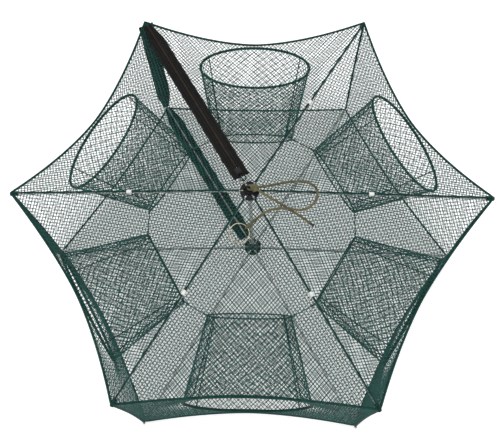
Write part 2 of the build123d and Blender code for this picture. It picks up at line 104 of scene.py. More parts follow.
TAPE_LIFT = 0.0028
TAPE_WIDTH = 0.013
TAPE_GAP = 0.0019
TAPE_THICKNESS = 0.0008
TAPE_ROW = 0.006  # between cross lines of the tape's mesh
TAPE_SECTION = (0, 0.12, 0.45, 0.8, 1.0)  # shares of the tape's width
STITCH_PITCH, STITCH_SHORT = 0.004, 0.04  # the stitching stops short of the tape's end
STITCH_ROWS = (0.30, 0.86)  # shares of the tape's width
TOOTH_PITCH = 0.0021
WEAVE_PITCH = 0.0007

CORD_RADIUS = 0.002
CORD_STEP = 0.0009  # between rings of the cord's mesh
BRAID_LAY = 0.0062  # length of one turn of a strand
SEALED_END = 0.008
HUB_KNOT = Vector((0.0075, -0.0005, 0.3066))
HUB_KNOT_REACH = 0.0045  # from its middle to where the cord leaves it
RING_KNOT = (0.001, -0.0595)
RING_KNOT_REACH, RING_KNOT_LIFT = 0.0035, 0.0053
RING_PLACE = (-0.015, -0.072)
RING_RADIUS = 0.016
RING_WIRE = 0.00085
RING_LIFT = 0.00155
RING_RISE = 0.0014  # of the split ring's two turns
RING_STEPS = 192
CLIP_OUT = 0.1982
CLIP_LENGTH, CLIP_WIDE, CLIP_HIGH = 0.0095, 0.0034, 0.0040
CLIP_RINGS, CLIP_AROUND = 12, 20

# The pull cord's loop and tail, each from beside the hub knot: x, y and the lift off the net.
LOOP_ROUTE = [
    (0.029, 0.0065, 0.0032),
    (0.047, 0.013, 0.0014),
    (0.066, 0.019, 0.0002),
    (0.086, 0.021, 0.0002),
    (0.102, 0.015, 0.0006),
    (0.111, 0.001, 0.0036),
    (0.108, -0.014, 0.0008),
    (0.098, -0.0255, 0.0008),
    (0.086, -0.031, 0.0030),
    (0.073, -0.0315, 0.0052),
    (0.058, -0.0295, 0.0052),
    (0.044, -0.0305, 0.0024),
    (0.0305, -0.0355, 0.0030),
    (0.0165, -0.0455, 0.0028),
]
TAIL_ROUTE = [
    (0.0295, -0.0105, 0.0022),
    (0.049, -0.020, 0.0004),
    (0.070, -0.0326, 0.0003),
    (0.089, -0.0434, 0.0005),
    (0.104, -0.054, 0.0002),
]

CAMERA_PLACE = (0.0385, -0.5460, 1.4744)
CAMERA_TURN = (4.6, 67.0, -3.6)  # azimuth, elevation and roll, in degrees
CAMERA_LENS = 58.12
LIGHTS = [  # name, place, size, power
    ("key", (-0.9, -0.8, 2.2), 1.4, 15),
    ("fill", (1.3, -0.5, 1.8), 1.6, 8),
    ("top", (0.1, 0.9, 2.4), 1.8, 10),
]
LIGHT_AIM = Vector((0, 0, 0.12))
WORLD_STRENGTH = 0.68
FLOOR_GLOW = 0.42
FLOOR_HALF, FLOOR_DROP = 6, -0.0006

# ------------------------------------------------------------------ places


def outward(angle):
    return Vector((cos(angle), sin(angle), 0))


def tangent(angle):
    return Vector((-sin(angle), cos(angle), 0))


def corner_angle(corner):
    return SECTOR * corner


def side_angle(side):
    return SECTOR * (side + 0.5)


def on_side(side, across, out, up):
    """A point given as seen from a side wall: across it, out from the axis, and up."""
    angle = side_angle(side)
    return tangent(angle) * across + outward(angle) * out + Vector((0, 0, up))


def half_hem(net):
    return net["tip"][0] * sin(SECTOR / 2)


def hem(net, across):
    """How far out and how high the hem is at a place across its side."""
    share = min(abs(across) / half_hem(net), 1) ** HEM_POWER
    tip_out = net["tip"][0] * cos(SECTOR / 2)
    out = net["middle"][0] + (tip_out - net["middle"][0]) * share
    up = net["middle"][1] + (net["tip"][1] - net["middle"][1]) * share
    return out, up


def cone_share(net, x, y):
    """How far a point of the plan is from the apex to the hem, and where its ray meets the hem."""
    share = max(y, 1e-4) / net["middle"][0]
    for _ in range(14):
        reach = max(-half_hem(net), min(half_hem(net), x / max(share, 1e-4)))
        share = max(y, 1e-4) / hem(net, reach)[0]
    return share, reach


def cone_height(net, x, y):
    share, reach = cone_share(net, x, y)
    return net["apex"] + (hem(net, reach)[1] - net["apex"]) * share


def net_normal_and_height(x, y):
    """The frame's flat top gore under a point: its upward normal and its upper face's height."""
    turn = degrees(atan2(y, x)) / 60
    corner = floor(turn + 0.5)
    way = 1 if turn > corner else -1
    apex = Vector((0, 0, SEAM_APEX))
    tip = outward(corner_angle(corner)) * GORE_TIP[0] + Vector((0, 0, GORE_TIP[1]))
    toward_middle = outward(corner_angle(corner) + way * SECTOR / 2)
    middle = toward_middle * GORE_MIDDLE[0] + Vector((0, 0, GORE_MIDDLE[1]))
    normal = (tip - apex).cross(middle - apex).normalized()
    if normal.z < 0:
        normal = -normal
    height = apex.z - (x * normal.x + y * normal.y) / normal.z + GORE_THICKNESS / normal.z
    return normal, height


def on_net(x, y, lift):
    """The point over the top net whose distance from it is the lift."""
    normal, height = net_normal_and_height(x, y)
    return Vector((x, y, height + lift / normal.z))


# ------------------------------------------------------------------ meshes


def new_mesh(name, points, faces, smooth=True):
    mesh = bpy.data.meshes.new(name)
    mesh.from_pydata([tuple(p) for p in points], [], faces)
    mesh.validate()
    mesh.update()
    for polygon in mesh.polygons:
        polygon.use_smooth = smooth
    obj = bpy.data.objects.new(name, mesh)
    bpy.context.collection.objects.link(obj)
    return obj


def join_parts(parts):
    """One list of points and one of faces from several."""
    points, faces = [], []
    for more_points, more_faces in parts:
        base = len(points)
        points += more_points
        faces += [[base + i for i in face] for face in more_faces]
    return points, faces


def tube(path, radius, around=8, closed=False, relief=None):
    """Points and faces of a tube along a path; relief(angle, distance) scales its radius."""
    path = [Vector(p) for p in path]
    count = len(path)
    headings = []
    for i, _ in enumerate(path):
        before = path[(i - 1) % count] if closed else path[max(i - 1, 0)]
        after = path[(i + 1) % count] if closed else path[min(i + 1, count - 1)]
        headings.append((after - before).normalized())
    side = headings[0].orthogonal().normalized()
    points, distance = [], 0.0
    for i, here in enumerate(path):
        side = (side - headings[i] * side.dot(headings[i])).normalized()
        other = headings[i].cross(side)
        if i:
            distance += (here - path[i - 1]).length
        for j in range(around):
            turn = 2 * pi * j / around
            reach = radius * (relief(turn, distance) if relief else 1)
            points.append(here + (side * cos(turn) + other * sin(turn)) * reach)
    faces = []
    for i in range(count if closed else count - 1):
        low, high = i * around, ((i + 1) % count) * around
        for j in range(around):
            k = (j + 1) % around
            faces.append([low + j, low + k, high + k, high + j])
    if not closed:
        faces.append(list(range(around))[::-1])
        faces.append(list(range((count - 1) * around, count * around)))
    return points, faces


def box_part(centre, x_axis, y_axis, z_axis):
    """A block from its centre and its three half axes."""
    points = [
        centre + x_axis * i + y_axis * j + z_axis * k
        for k in (-1, 1) for j in (-1, 1) for i in (-1, 1)
    ]
    faces = [[0, 2, 3, 1], [4, 5, 7, 6], [0, 1, 5, 4], [2, 6, 7, 3], [0, 4, 6, 2], [1, 3, 7, 5]]
    return points, faces


def lattice(step_x, step_y, columns, rows, inside, snap):
    """Knotted meshes over part of a plane: the points, and each face with its middle column.

    A mesh is kept where at least two of its corners are inside, and its others move to the border.
    """
    index, points, faces = {}, [], []
    for i in range(-columns, columns + 1):
        for j in range(rows[0], rows[1] + 1):
            if (i + j) % 2 == 0:
                continue
            ring = [(i - 1, j), (i, j - 1), (i + 1, j), (i, j + 1)]
            places = [(a * step_x, b * step_y) for a, b in ring]
            if sum(inside(*place) for place in places) < 2:
                continue
            face = []
            for key, place in zip(ring, places):
                if key not in index:
                    index[key] = len(points)
                    points.append(place if inside(*place) else snap(*place))
                face.append(index[key])
            faces.append((i, face))
    return points, faces


def half_of(points, faces, way):
    """The faces on one side of the middle column, with their own points."""
    kept = [face for column, face in faces if (column >= 0) == (way > 0)]
    used = sorted({i for face in kept for i in face})
    place = {old: new for new, old in enumerate(used)}
    return [points[i] for i in used], [[place[i] for i in face] for face in kept]


def make_netting(name, parts, body, nodes, thickness=THREAD):
    """A piece of netting: its knotted meshes become thread with a live Wireframe."""
    obj = new_mesh(name, *join_parts(parts), smooth=False)
    thread = obj.modifiers.new("thread", "WIREFRAME")
    thread.thickness = thickness
    thread.use_even_offset = False
    thread.use_boundary = True
    thread.offset = 0
    obj.data.materials.append(NETTING)
    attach(obj, body)
    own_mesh(obj)
    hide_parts(*nodes)
    return obj


def make_piece(name, part, material, body, replaced=(), squashed=None, smooth=True):
    obj = new_mesh(name, *part, smooth=smooth)
    obj.data.materials.append(material)
    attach(obj, body)
    if squashed:
        axis, anchor, keep = squashed
        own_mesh(obj)
        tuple(axis)
        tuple(anchor)
    if replaced:
        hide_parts(*replaced)
    return obj


# ------------------------------------------------------------------ materials


def node_tree(name):
    material = bpy.data.materials.new(name)
    material.use_nodes = True
    nodes = material.node_tree.nodes
    return material, nodes, material.node_tree.links, nodes["Principled BSDF"]


def coloured(nodes, links, shader, coordinates, scale, dark, light):
    """Colour that wanders between two tones."""
    noise = nodes.new("ShaderNodeTexNoise")
    noise.inputs["Scale"].default_value = scale
    noise.inputs["Detail"].default_value = 6.0
    ramp = nodes.new("ShaderNodeValToRGB")
    ramp.color_ramp.elements[0].position = 0.32
    ramp.color_ramp.elements[1].position = 0.68
    ramp.color_ramp.elements[0].color = (*dark, 1)
    ramp.color_ramp.elements[1].color = (*light, 1)
    links.new(coordinates.outputs["Object"], noise.inputs["Vector"])
    links.new(noise.outputs["Fac"], ramp.inputs["Fac"])
    links.new(ramp.outputs["Color"], shader.inputs["Base Color"])
    return noise


def bumped(nodes, links, shader, height, strength, distance):
    bump = nodes.new("ShaderNodeBump")
    bump.inputs["Strength"].default_value = strength
    bump.inputs["Distance"].default_value = distance
    links.new(height, bump.inputs["Height"])
    links.new(bump.outputs["Normal"], shader.inputs["Normal"])


def fibre_material(name, dark, light, roughness=0.7, sheen=0.25, fibre=900.0):
    """Spun thread: two tones, a fine twist and a little sheen."""
    material, nodes, links, shader = node_tree(name)
    coordinates = nodes.new("ShaderNodeTexCoord")
    coloured(nodes, links, shader, coordinates, 55.0, dark, light)
    twist = nodes.new("ShaderNodeTexWave")
    twist.wave_type = "BANDS"
    twist.bands_direction = "DIAGONAL"
    twist.inputs["Scale"].default_value = fibre
    twist.inputs["Distortion"].default_value = 3.0
    twist.inputs["Detail"].default_value = 3.0
    links.new(coordinates.outputs["Object"], twist.inputs["Vector"])
    bumped(nodes, links, shader, twist.outputs["Fac"], 0.5, 0.0002)
    shader.inputs["Roughness"].default_value = roughness
    shader.inputs["Sheen Weight"].default_value = sheen
    return material


def woven_material(name, dark, light):
    """Plain weave: warp and weft as two crossed waves."""
    material, nodes, links, shader = node_tree(name)
    coordinates = nodes.new("ShaderNodeTexCoord")
    coloured(nodes, links, shader, coordinates, 120.0, dark, light)
    waves = []
    for direction in ("X", "Y"):
        wave = nodes.new("ShaderNodeTexWave")
        wave.bands_direction = direction
        wave.inputs["Scale"].default_value = 0.314 / WEAVE_PITCH
        wave.inputs["Distortion"].default_value = 0.8
        links.new(coordinates.outputs["Object"], wave.inputs["Vector"])
        waves.append(wave)
    cross = nodes.new("ShaderNodeMath")
    cross.operation = "MULTIPLY"
    links.new(waves[0].outputs["Fac"], cross.inputs[0])
    links.new(waves[1].outputs["Fac"], cross.inputs[1])
    bumped(nodes, links, shader, cross.outputs["Value"], 0.6, 0.0003)
    shader.inputs["Roughness"].default_value = 0.75
    shader.inputs["Specular IOR Level"].default_value = 0.2
    return material


def moulded_material(name, dark, light, roughness=0.45, shine=0.5):
    """Moulded plastic with a fine spark-eroded texture."""
    material, nodes, links, shader = node_tree(name)
    coordinates = nodes.new("ShaderNodeTexCoord")
    coloured(nodes, links, shader, coordinates, 90.0, dark, light)
    grain = nodes.new("ShaderNodeTexNoise")
    grain.inputs["Scale"].default_value = 2600.0
    links.new(coordinates.outputs["Object"], grain.inputs["Vector"])
    bumped(nodes, links, shader, grain.outputs["Fac"], 0.25, 0.0001)
    shader.inputs["Roughness"].default_value = roughness
    shader.inputs["Specular IOR Level"].default_value = shine
    return material


def metal_material(name, dark, light, roughness=0.28):
    """Drawn wire: bright, with faint scratches and dull patches."""
    material, nodes, links, shader = node_tree(name)
    coordinates = nodes.new("ShaderNodeTexCoord")
    noise = coloured(nodes, links, shader, coordinates, 240.0, dark, light)
    rough = nodes.new("ShaderNodeMapRange")
    rough.inputs["To Min"].default_value = roughness - 0.08
    rough.inputs["To Max"].default_value = roughness + 0.16
    links.new(noise.outputs["Fac"], rough.inputs["Value"])
    links.new(rough.outputs["Result"], shader.inputs["Roughness"])
    scratch = nodes.new("ShaderNodeTexNoise")
    scratch.inputs["Scale"].default_value = 1800.0
    links.new(coordinates.outputs["Object"], scratch.inputs["Vector"])
    bumped(nodes, links, shader, scratch.outputs["Fac"], 0.12, 0.0001)
    shader.inputs["Metallic"].default_value = 1.0
    return material


NETTING = fibre_material("netting_thread", (0.0006, 0.044, 0.036), (0.003, 0.098, 0.080), 0.7, 0.02)
BINDING = woven_material("binding_weave", (0.002, 0.026, 0.021), (0.007, 0.058, 0.046))
STRING = fibre_material("twine", (0.003, 0.032, 0.026), (0.010, 0.066, 0.052), 0.7, 0.05)
TAPE = woven_material("zip_tape_weave", (0.0022, 0.0022, 0.0022), (0.0065, 0.0062, 0.0058))
STITCH = fibre_material("zip_stitching", (0.005, 0.0046, 0.004), (0.014, 0.013, 0.011), 0.7, 0.05)
TEETH = moulded_material("zip_teeth", (0.012, 0.008, 0.005), (0.028, 0.020, 0.013), 0.4, 0.2)
ENAMEL = moulded_material("black_enamel", (0.003, 0.003, 0.003), (0.008, 0.008, 0.008), 0.35, 0.25)
BLACK = moulded_material("black_moulding", (0.004, 0.004, 0.004), (0.010, 0.010, 0.011), 0.45, 0.2)
WHITE = moulded_material("white_moulding", (0.72, 0.72, 0.70), (0.86, 0.86, 0.84), 0.4)
STEEL = metal_material("drawn_steel", (0.30, 0.30, 0.30), (0.58, 0.58, 0.57))
RING_METAL = metal_material("ring_metal", (0.42, 0.37, 0.26), (0.70, 0.64, 0.50), 0.2)
CORD = fibre_material("olive_cord", (0.055, 0.052, 0.020), (0.165, 0.150, 0.070), 0.8, 0.1, 1400.0)
CORD_TIP = moulded_material("sealed_cord_tip", (0.012, 0.010, 0.006), (0.03, 0.024, 0.014), 0.35)


def finish_cad_nodes():
    """Procedural finishes on the frame's own pieces, whose shapes are right as they are."""
    for name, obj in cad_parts.items():
        if obj.hide_render:
            continue
        if name.startswith("rib_clip"):
            material = WHITE
        elif name.startswith("rib_tip") or name in ("top_hub", "bottom_hub", "hub_cap"):
            material = BLACK
        elif name in ("zip_slider", "zip_pull"):
            material = ENAMEL
        else:
            material = STEEL
        if not obj.material_slots:
            obj.data.materials.append(material)
        for material_slot in obj.material_slots:
            material_slot.link = "OBJECT"
            material_slot.material = material


# ------------------------------------------------------------------ camera, light and floor


def make_camera():
    azimuth, elevation, roll = (radians(angle) for angle in CAMERA_TURN)
    back = Vector((
        sin(azimuth) * cos(elevation),
        -cos(azimuth) * cos(elevation),
        sin(elevation),
    ))
    level = (-back).cross(Vector((0, 0, 1))).normalized()
    raised = level.cross(-back)
    right = level * cos(roll) + raised * sin(roll)
    up = raised * cos(roll) - level * sin(roll)
    data = bpy.data.cameras.new("camera")
    data.lens = CAMERA_LENS
    data.sensor_width = 36
    camera = bpy.data.objects.new("camera", data)
    turn = Matrix((right, up, back)).transposed().to_4x4()
    camera.matrix_world = Matrix.Translation(CAMERA_PLACE) @ turn
    bpy.context.collection.objects.link(camera)
    bpy.context.scene.camera = camera


def make_light(name, place, size, power):
    data = bpy.data.lights.new(name, "AREA")
    data.size = size
    data.energy = power
    light = bpy.data.objects.new(name, data)
    light.location = place
    light.rotation_euler = (LIGHT_AIM - Vector(place)).to_track_quat("-Z", "Y").to_euler()
    bpy.context.collection.objects.link(light)


def make_studio():
    for name, place, size, power in LIGHTS:
        make_light(name, place, size, power)
    world = bpy.data.worlds.new("studio")
    world.use_nodes = True
    background = world.node_tree.nodes["Background"]
    background.inputs["Color"].default_value = (1, 1, 1, 1)
    background.inputs["Strength"].default_value = WORLD_STRENGTH
    bpy.context.scene.world = world
    bpy.context.scene.view_settings.view_transform = "Standard"
    points = [
        (x * FLOOR_HALF, y * FLOOR_HALF, FLOOR_DROP)
        for x, y in ((-1, -1), (1, -1), (1, 1), (-1, 1))
    ]
    ground = new_mesh("floor", points, [[0, 1, 2, 3]])
    material, nodes, links, shader = node_tree("pale_floor")
    coordinates = nodes.new("ShaderNodeTexCoord")
    coloured(nodes, links, shader, coordinates, 3.0, (0.93, 0.93, 0.93), (0.95, 0.95, 0.95))
    shader.inputs["Roughness"].default_value = 0.9
    shader.inputs["Emission Color"].default_value = (1, 1, 1, 1)
    shader.inputs["Emission Strength"].default_value = FLOOR_GLOW
    ground.data.materials.append(material)
    ground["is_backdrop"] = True


# ------------------------------------------------------------------ pull cord


def braid(turn, distance):
    """Relief of a round braid: two sets of strands wound opposite ways."""
    lay = distance / BRAID_LAY * 2 * pi
    return 0.94 + 0.09 * max(cos(4 * turn + lay * 2), cos(4 * turn - lay * 2))


def spline_points(name, route):
    """Points along the smooth curve whose control points are the route."""
    curve = bpy.data.curves.new(name, "CURVE")
    curve.dimensions = "3D"
    curve.resolution_u = 24
    spline = curve.splines.new("NURBS")
    spline.points.add(len(route) - 1)
    for point, place in zip(spline.points, route):
        point.co = (*place, 1)
    spline.order_u = 3
    spline.use_endpoint_u = True
    holder = bpy.data.objects.new(name, curve)
    bpy.context.collection.objects.link(holder)
    bpy.context.view_layer.update()
    line = bpy.data.meshes.new_from_object(holder)
    points = [v.co.copy() for v in line.vertices]
    bpy.data.objects.remove(holder)
    bpy.data.meshes.remove(line)
    return points


def even(points, step):
    """The same line with its points evenly spaced."""
    result, spare = [points[0]], 0.0
    for a, b in zip(points, points[1:]):
        length = (b - a).length
        reach = step - spare
        while reach <= length:
            result.append(a.lerp(b, reach / length))
            reach += step
        spare = length - (reach - step)
    if (result[-1] - points[-1]).length > step * 0.3:
        result.append(points[-1])
    return result


def line_length(points):
    return sum((b - a).length for a, b in zip(points, points[1:]))


def knot_part(centre, size, cord_radius, turn=0.0):
    """An overhand knot drawn up tight."""
    path = []
    for i in range(72):
        t = 2 * pi * i / 72
        point = Vector((sin(t) + 2 * sin(2 * t), cos(t) - 2 * cos(2 * t), -1.25 * sin(3 * t)))
        path.append(centre + Matrix.Rotation(turn, 3, "X") @ point * size)
    return tube(path, cord_radius, around=10, closed=True, relief=braid)


def make_pull_cord():
    ring_normal, ring_base = net_normal_and_height(*RING_PLACE)
    ring_centre = Vector((*RING_PLACE, ring_base + RING_LIFT / ring_normal.z))
    ring_knot = on_net(*RING_KNOT, RING_KNOT_LIFT)
    loop = [on_net(x, y, CORD_RADIUS + lift) for x, y, lift in LOOP_ROUTE]
    tail = [on_net(x, y, CORD_RADIUS + lift) for x, y, lift in TAIL_ROUTE]
    loop = [HUB_KNOT + (loop[0] - HUB_KNOT).normalized() * HUB_KNOT_REACH, *loop]
    loop.append(ring_knot + (loop[-1] - ring_knot).normalized() * RING_KNOT_REACH)
    tail = [HUB_KNOT + (tail[0] - HUB_KNOT).normalized() * HUB_KNOT_REACH, *tail]

    loop_line = even(spline_points("loop_line", loop), CORD_STEP)
    tail_line = even(spline_points("tail_line", tail), CORD_STEP)
    loop_part = tube(loop_line, CORD_RADIUS, 20, relief=braid)
    rope = make_piece("pull_cord_loop", loop_part, CORD, "frame", ["pull_cord"])
    tail_part = tube(tail_line, CORD_RADIUS, 20, relief=braid)
    end = make_piece("pull_cord_tail", tail_part, CORD, "frame", ["pull_cord"])
    tip_line = [p for p in tail_line if (p - tail_line[-1]).length < SEALED_END]
    tip_line.append(tail_line[-1] + (tail_line[-1] - tail_line[-2]).normalized() * 0.0006)
    tip_part = tube(tip_line, CORD_RADIUS * 1.06, 16)
    tip = make_piece("pull_cord_tip", tip_part, CORD_TIP, "frame")

    eye = Vector((-0.0035, 0, 0.305))
    bight = [
        eye,
        eye + Vector((0.0012, 0.0034, 0.0004)),
        Vector((0.0035, 0.0037, 0.3062)),
        Vector((0.0070, 0.0018, 0.3066)),
        Vector((0.0070, -0.0026, 0.3066)),
        Vector((0.0035, -0.0037, 0.3060)),
        eye + Vector((0.0012, -0.0034, -0.0002)),
        eye,
    ]
    hub_knot = join_parts([
        knot_part(HUB_KNOT, 0.0017, 0.0021, 0.4),
        tube(even(spline_points("bight", bight), 0.0008), 0.0018, 10, relief=braid),
    ])
    make_piece("hub_knot", hub_knot, CORD, "frame", ["cord_knots"])
    hold = ring_centre + (ring_knot - ring_centre).normalized() * RING_RADIUS
    along = (ring_knot - ring_centre).normalized()
    around_wire = [
        hold + (along * cos(t) + ring_normal * sin(t)) * 0.0034 + along * 0.0006
        for t in [2 * pi * i / 24 for i in range(24)]
    ]
    ring_knot_part = join_parts([
        knot_part(ring_knot, 0.0010, 0.0018, 1.1),
        tube(around_wire, 0.0017, 10, closed=True, relief=braid),
    ])
    ring_knot_piece = make_piece("ring_knot", ring_knot_part, CORD, "frame", ["cord_knots"])

    side = ring_normal.orthogonal().normalized()
    other = ring_normal.cross(side)
    coil = []
    for i in range(RING_STEPS + 1):
        t = 4 * pi * i / RING_STEPS
        rise = RING_RISE * (i / RING_STEPS - 0.5)
        place = ring_centre + (side * cos(t) + other * sin(t)) * RING_RADIUS
        coil.append(place + ring_normal * rise)
    ring_part = tube(coil, RING_WIRE, 10)
    ring = make_piece("split_ring", ring_part, RING_METAL, "frame", ["cord_ring"])

    tuple(loop_line[0])
    line_length(loop_line)
    [tuple(p) for p in loop_line]
    tuple(tail_line[0])
    line_length(tail_line)
    [tuple(p) for p in tail_line]


# ------------------------------------------------------------------ top and bottom netting


def cone_lattice(net):
    """Knotted meshes of one side's panel in its plan: across, and out from the axis."""
    slope = tan(SECTOR / 2)

    def inside(x, y):
        if y <= 0 or abs(x) > y * slope or hypot(x, y) < HUB_HOLE:
            return False
        return cone_share(net, x, y)[0] <= 1

    def snap(x, y):
        if hypot(x, y) < HUB_HOLE and y > 0:
            scale = HUB_HOLE / hypot(x, y)
            x, y = x * scale, y * scale
        if abs(x) > y * slope:
            ray = Vector((slope, 1)).normalized()
            reach = max(abs(x) * ray.x + y * ray.y, HUB_HOLE)
            x, y = (1 if x > 0 else -1) * ray.x * reach, ray.y * reach
        share = cone_share(net, x, y)[0]
        if share > 1:
            x, y = x / share, y / share
        return x, y

    step_x, step_y = PITCH * MESH_SQUEEZE / sqrt(2), PITCH / MESH_SQUEEZE / sqrt(2)
    columns = int(half_hem(net) / step_x) + 2
    return lattice(step_x, step_y, columns, (0, int(0.35 / step_y) + 2), inside, snap)


def gore_part(net, cells, side, way):
    points, faces = half_of(*cells, way)
    return [on_side(side, x, y, cone_height(net, x, y)) for x, y in points], faces


def make_cone_nets(label, net, node):
    cells = cone_lattice(net)
    for corner in range(SIDES):
        parts = [gore_part(net, cells, corner, -1), gore_part(net, cells, (corner - 1) % SIDES, 1)]
        body = f"{label}_rib_{corner + 1}"
        make_netting(f"{label}_gore_{corner + 1}", parts, body, [node])


def make_hems():
    """Bound edges of the top and the bottom, half a side each way from every corner."""
    for label, net, radius in (("top", TOP, 0.0020), ("bottom", BOTTOM, 0.0018)):
        lift = radius if label == "bottom" else 0
        for corner in range(SIDES):
            angle = corner_angle(corner)
            path = []
            for i in range(-HEM_STEPS, HEM_STEPS + 1):
                side = corner if i >= 0 else (corner - 1) % SIDES
                across = half_hem(net) * (1 - abs(i) / HEM_STEPS) * (-1 if i >= 0 else 1)
                out, up = hem(net, across)
                path.append(on_side(side, across, out, max(up, lift)))
            squashed = (tangent(angle), (0, 0, 0), NET_KEEP)
            make_piece(f"{label}_hem_{corner + 1}", tube(path, radius, 8), BINDING,
                       f"{label}_rib_{corner + 1}", squashed=squashed)


def make_rib_seams():
    """The corded seam of the panels over each top rib and under each bottom rib."""
    for label, net, lift in (("top", TOP, 0.0007), ("bottom", BOTTOM, 0.0004)):
        for corner in range(SIDES):
            if corner == ZIP_CORNER:
                continue
            path = []
            for i in range(31):
                reach = HUB_HOLE + (net["tip"][0] - HUB_HOLE) * i / 30
                up = net["apex"] + (net["tip"][1] - net["apex"]) * reach / net["tip"][0]
                path.append(outward(corner_angle(corner)) * reach + Vector((0, 0, up + lift)))
            make_piece(f"{label}_seam_{corner + 1}", tube(path, SEAM_RADIUS, 8), BINDING,
                       f"{label}_rib_{corner + 1}")


# ------------------------------------------------------------------ walls, hoops and funnels


def wall_ends(share):
    """Half the wall's width at a share of its height."""
    return half_hem(BOTTOM) + (half_hem(TOP) - half_hem(BOTTOM)) * share


def wall_share(x, z):
    """Where a height lies between the two hems at a place across the wall."""
    low, high = hem(BOTTOM, x)[1], hem(TOP, x)[1]
    return (z - low) / (high - low)


def hoop_share(x, z):
    return hypot(x / HOOP_WIDE, (z - HOOP_HEIGHT) / HOOP_HIGH)


def wall_out(x, z):
    """How far out the wall's netting is, drawn to the hoop's plane beside the hoop."""
    share = max(0, min(1, wall_share(x, z)))
    out = hem(BOTTOM, x)[0] * (1 - share) + hem(TOP, x)[0] * share
    around = hoop_share(x, z)
    pull = DECAY_BASE ** (-WALL_LEAN * max(0, around - 1) * min(1, around))
    return out + (HOOP_OUT - out) * pull


def wall_lattice():
    def inside(x, z):
        share = wall_share(x, z)
        return 0 <= share <= 1 and abs(x) <= wall_ends(share) and hoop_share(x, z) >= 1

    def snap(x, z):
        around = hoop_share(x, z)
        if around < 1:
            scale = 1 / max(around, 0.2)
            return x * scale, HOOP_HEIGHT + (z - HOOP_HEIGHT) * scale
        share = max(0, min(1, wall_share(x, z)))
        x = max(-wall_ends(share), min(wall_ends(share), x))
        low, high = hem(BOTTOM, x)[1], hem(TOP, x)[1]
        return x, max(low, min(high, z))

    step_x, step_z = WALL_PITCH
    columns = int(half_hem(TOP) / step_x) + 2
    return lattice(step_x, step_z, columns, (-1, int(0.28 / step_z) + 2), inside, snap)


def make_walls():
    cells = wall_lattice()
    for corner in range(SIDES):
        parts = []
        for side, way in ((corner, -1), ((corner - 1) % SIDES, 1)):
            points, faces = half_of(*cells, way)
            parts.append(([on_side(side, x, wall_out(x, z), z) for x, z in points], faces))
        make_netting(f"wall_corner_{corner + 1}", parts, f"corner_{corner + 1}",
                     [f"wall_net_{corner + 1}"], thickness=WALL_THREAD)


def hoop_point(side, turn):
    up = HOOP_HEIGHT + HOOP_HIGH * sin(turn)
    return on_side(side, HOOP_WIDE * cos(turn), HOOP_OUT, up)


def funnel_point(side, turn, share):
    """A point of the funnel, from its hoop (0) to its throat (1)."""
    draw = share + FUNNEL_DRAW * sin(pi * share)
    wide = HOOP_WIDE + (THROAT_WIDE - HOOP_WIDE) * share
    high = HOOP_HIGH + (THROAT_HIGH - HOOP_HIGH) * draw
    out = HOOP_OUT - 0.001 + (THROAT_OUT - HOOP_OUT) * share
    middle = HOOP_HEIGHT + (THROAT_HEIGHT - HOOP_HEIGHT) * share
    sag = -FUNNEL_SAG * sin(pi * share) * max(0, -sin(turn))
    return on_side(side, wide * cos(turn), out, middle + high * sin(turn) + sag)


def funnel_part(side):
    around, rows = FUNNEL_MESHES
    index, points, faces = {}, [], []
    for i in range(around):
        for j in range(rows + 1):
            if (i + j) % 2 == 0:
                continue
            face = []
            for a, b in ((i - 1, j), (i, j - 1), (i + 1, j), (i, j + 1)):
                key = (a % around, max(0, min(rows, b)))
                if key not in index:
                    index[key] = len(points)
                    points.append(funnel_point(side, 2 * pi * key[0] / around, key[1] / rows))
                if index[key] not in face:
                    face.append(index[key])
            if len(face) > 2:
                faces.append(face)
    return points, faces


def make_funnels():
    for side in range(SIDES):
        angle = side_angle(side)
        body = f"hoop_{side + 1}"
        squashed = (tangent(angle), (0, 0, 0), FUNNEL_KEEP)
        make_netting(f"funnel_{side + 1}", [funnel_part(side)], body, [f"wall_net_{side + 1}"])
        ring = [hoop_point(side, 2 * pi * i / 72) for i in range(72)]
        make_piece(f"hoop_sleeve_{side + 1}", tube(ring, 0.0024, 10, closed=True), BINDING, body,
                   [f"hoop_{side + 1}"], squashed)
        mouth = [funnel_point(side, 2 * pi * i / 60, 1.0) for i in range(60)]
        parts = [tube(mouth, 0.0013, 8, closed=True)]
        for turn in FUNNEL_SEAMS:
            line = [funnel_point(side, radians(turn), i / 20) for i in range(21)]
            parts.append(tube(line, 0.0010, 8))
        make_piece(f"funnel_seams_{side + 1}", join_parts(parts), BINDING, body,
                   (), squashed)


def make_ties():
    """Strings that hold each funnel's lips out to the next funnel's."""
    for corner in range(SIDES):
        angle = corner_angle(corner)
        ends = []
        parts = []
        for side, way in ((corner, -1), ((corner - 1) % SIDES, 1)):
            turn = 0 if way > 0 else pi
            end = funnel_point(side, turn, 1.0)
            centre = outward(angle) * end.dot(outward(angle)) + Vector((0, 0, THROAT_HEIGHT))
            knot = end.lerp(centre, 0.22)
            ends.append(knot)
            for lip in (0.30, -0.30):
                start = funnel_point(side, turn + lip * way, 1.0)
                parts.append(tube([start, start.lerp(knot, 0.5), knot], TIE_RADIUS, 6))
            knot_half = Vector((0, 0, 0.0016))
            parts.append(tube([knot + knot_half, knot - knot_half], 0.0018, 8))
        middle = (ends[0] + ends[1]) / 2 - Vector((0, 0, 0.0015))
        line = [ends[0], ends[0].lerp(middle, 0.5), middle, ends[1].lerp(middle, 0.5), ends[1]]
        parts.append(tube(line, TIE_RADIUS, 6))
        make_piece(f"funnel_tie_{corner + 1}", join_parts(parts), STRING, f"corner_{corner + 1}",
                   ["funnel_ties"], (tangent(angle), (0, 0, 0), NET_KEEP))


